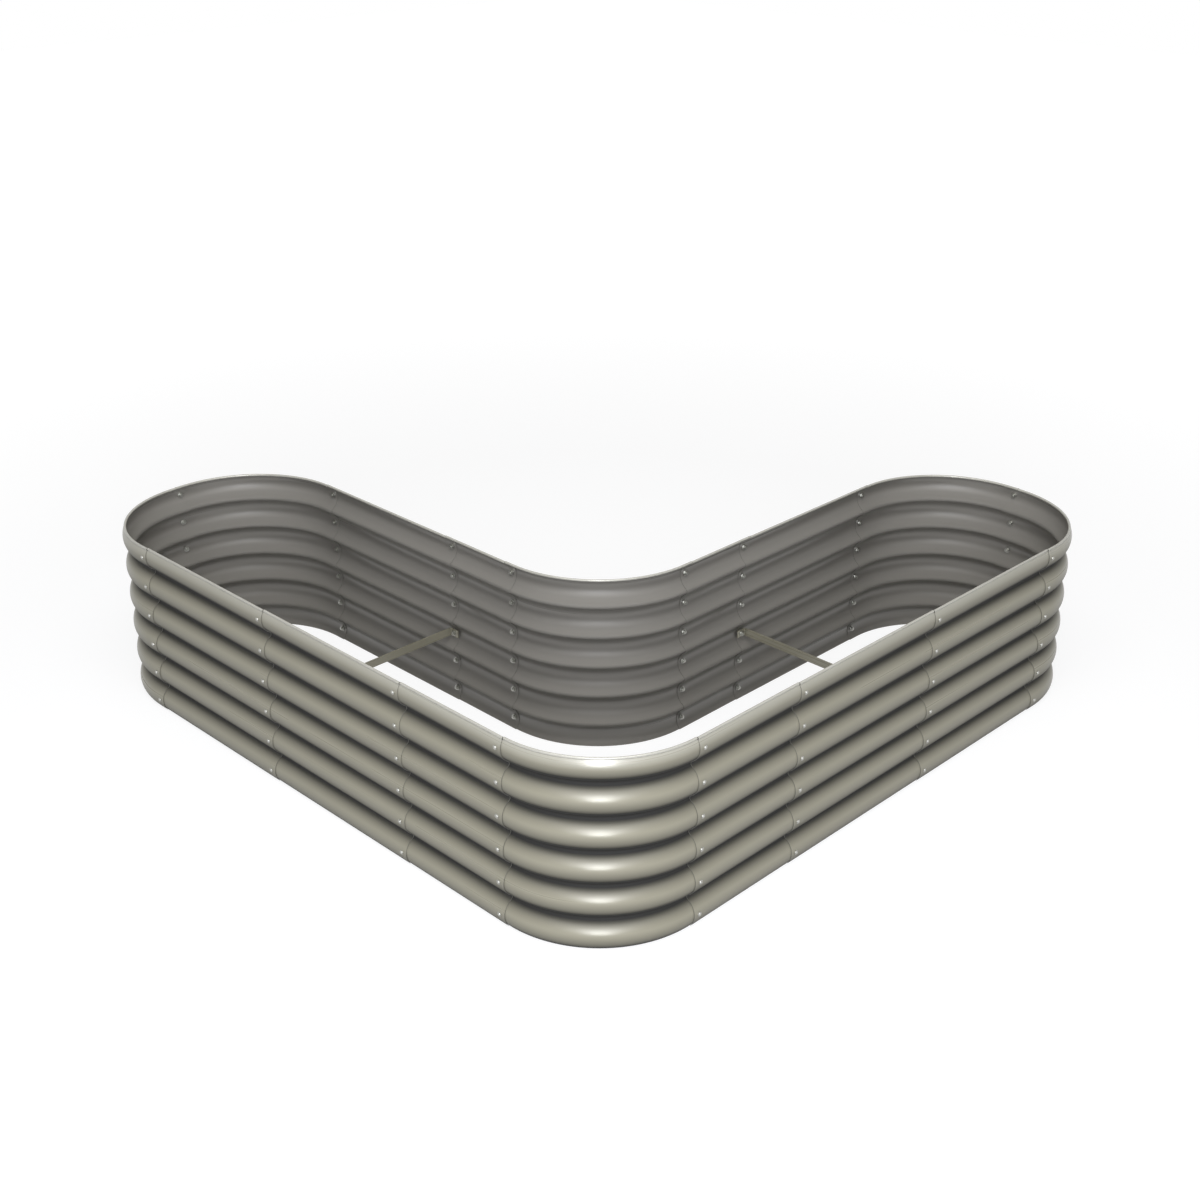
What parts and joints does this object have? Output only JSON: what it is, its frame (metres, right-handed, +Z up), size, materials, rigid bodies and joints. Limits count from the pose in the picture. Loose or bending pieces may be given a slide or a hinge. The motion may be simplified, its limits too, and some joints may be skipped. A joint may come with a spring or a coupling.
{
  "type": "raised garden bed",
  "caption": "L-shaped bottomless raised garden bed of corrugated coated steel panels with rounded corners, lapped and bolted, with a cross brace in each arm.",
  "frame": {"origin": "on the ground, at the middle of the square around the L", "axes": "+Z up; the right arm runs along +X and the left arm along +Y from the front corner at (-X, -Y)"},
  "size_m": [1.8, 1.8, 0.4318],
  "materials": {
    "coated_steel": "semi-gloss coating on corrugated sheet steel",
    "zinc_steel": "bright zinc plating"
  },
  "bodies": {
    "root": {"front_corner_panel": "coated_steel", "inner_corner_panel": "coated_steel", "right_outer_short_panel": "coated_steel", "right_outer_long_panel_1": "coated_steel", "right_outer_long_panel_2": "coated_steel", "right_end_corner_front": "coated_steel", "right_end_corner_rear": "coated_steel", "right_rear_long_panel": "coated_steel", "right_rear_filler_panel": "coated_steel", "right_cross_brace": "coated_steel", "right_brace_bolt_front": "zinc_steel", "right_brace_bolt_rear": "zinc_steel", "right_brace_nut_front": "zinc_steel", "right_brace_nut_rear": "zinc_steel", "left_outer_short_panel": "coated_steel", "left_outer_long_panel_1": "coated_steel", "left_outer_long_panel_2": "coated_steel", "left_end_corner_front": "coated_steel", "left_end_corner_rear": "coated_steel", "left_rear_long_panel": "coated_steel", "left_rear_filler_panel": "coated_steel", "left_cross_brace": "coated_steel", "left_brace_bolt_front": "zinc_steel", "left_brace_bolt_rear": "zinc_steel", "left_brace_nut_front": "zinc_steel", "left_brace_nut_rear": "zinc_steel"}
  },
  "joints": []
}
